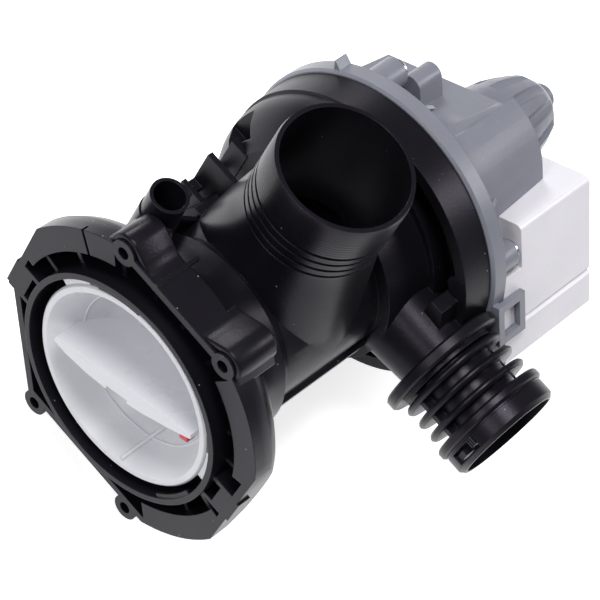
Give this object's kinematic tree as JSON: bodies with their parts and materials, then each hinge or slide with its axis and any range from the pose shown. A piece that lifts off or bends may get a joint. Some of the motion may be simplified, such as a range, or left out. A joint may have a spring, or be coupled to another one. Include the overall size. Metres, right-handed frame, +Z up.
{
  "type": "washing machine drain pump",
  "caption": "Drain pump with a ribbed black housing, twist-out filter cap and strainer, inlet and outlet spigots, and a synchronous motor with coil box behind.",
  "frame": {"origin": "centre of the four screw bosses' front plane, on the filter's axis", "axes": "+X out of the outlet spigot, +Y from the filter mouth back to the motor, +Z up the inlet spigot"},
  "size_m": [0.1326, 0.1992, 0.1243],
  "materials": {
    "black_plastic": "moulded black polypropylene, satin",
    "white_plastic": "moulded white polypropylene, satin",
    "red_plastic": "red moulded clip, satin",
    "black_rubber": "black EPDM, matt",
    "grey_plastic": "moulded grey glass-filled polypropylene, satin",
    "plated_steel": "zinc plated",
    "sintered_bronze": "sintered bronze, matt",
    "bright_steel": "ground stainless steel",
    "ferrite": "sintered ferrite, matt",
    "plate_steel": "stacked blued steel plates",
    "copper_wire": "enamelled copper wire",
    "milky_plastic": "milky white moulded plastic, satin",
    "tinned_brass": "tinned brass"
  },
  "bodies": {
    "pump": {"pump_housing": "black_plastic", "housing_gasket": "black_rubber", "motor_flange": "grey_plastic", "motor_screws": "plated_steel", "bearing_plate": "grey_plastic", "shaft_seal": "black_rubber", "front_bearing": "sintered_bronze", "rear_bearing": "sintered_bronze", "bearing_mount": "black_rubber", "stator_core": "plate_steel", "coil_bobbin": "white_plastic", "coil_winding": "copper_wire", "coil_cover": "milky_plastic", "terminal_blades": "tinned_brass", "stator_shell": "grey_plastic", "rear_cap": "grey_plastic"},
    "filter_slide": {"filter_seal": "black_rubber"},
    "filter": {"filter_cap": "white_plastic", "filter_mark": "red_plastic", "filter_strainer": "white_plastic"},
    "rotor": {"rotor_shaft": "bright_steel", "rotor_jacket": "black_plastic", "rotor_magnet": "ferrite", "thrust_washers": "bright_steel", "drive_dog": "white_plastic"},
    "impeller": {"impeller": "white_plastic"}
  },
  "joints": [
    {"name": "filter_pull", "type": "slide", "parent": "pump", "child": "filter_slide", "axis": [0, -1, 0], "range_m": [0, 0.09]},
    {"name": "filter_turn", "type": "hinge", "parent": "filter_slide", "child": "filter", "pos_m": [0, 0.002, 0], "axis": [0, 1, 0], "range_deg": [0, 34]},
    {"name": "rotor_spin", "type": "hinge", "parent": "pump", "child": "rotor", "pos_m": [0, 0.137, 0], "axis": [0, 1, 0], "continuous": true},
    {"name": "impeller_play", "type": "hinge", "parent": "rotor", "child": "impeller", "pos_m": [0, 0.097, 0], "axis": [0, 1, 0], "range_deg": [-128, 128]}
  ]
}
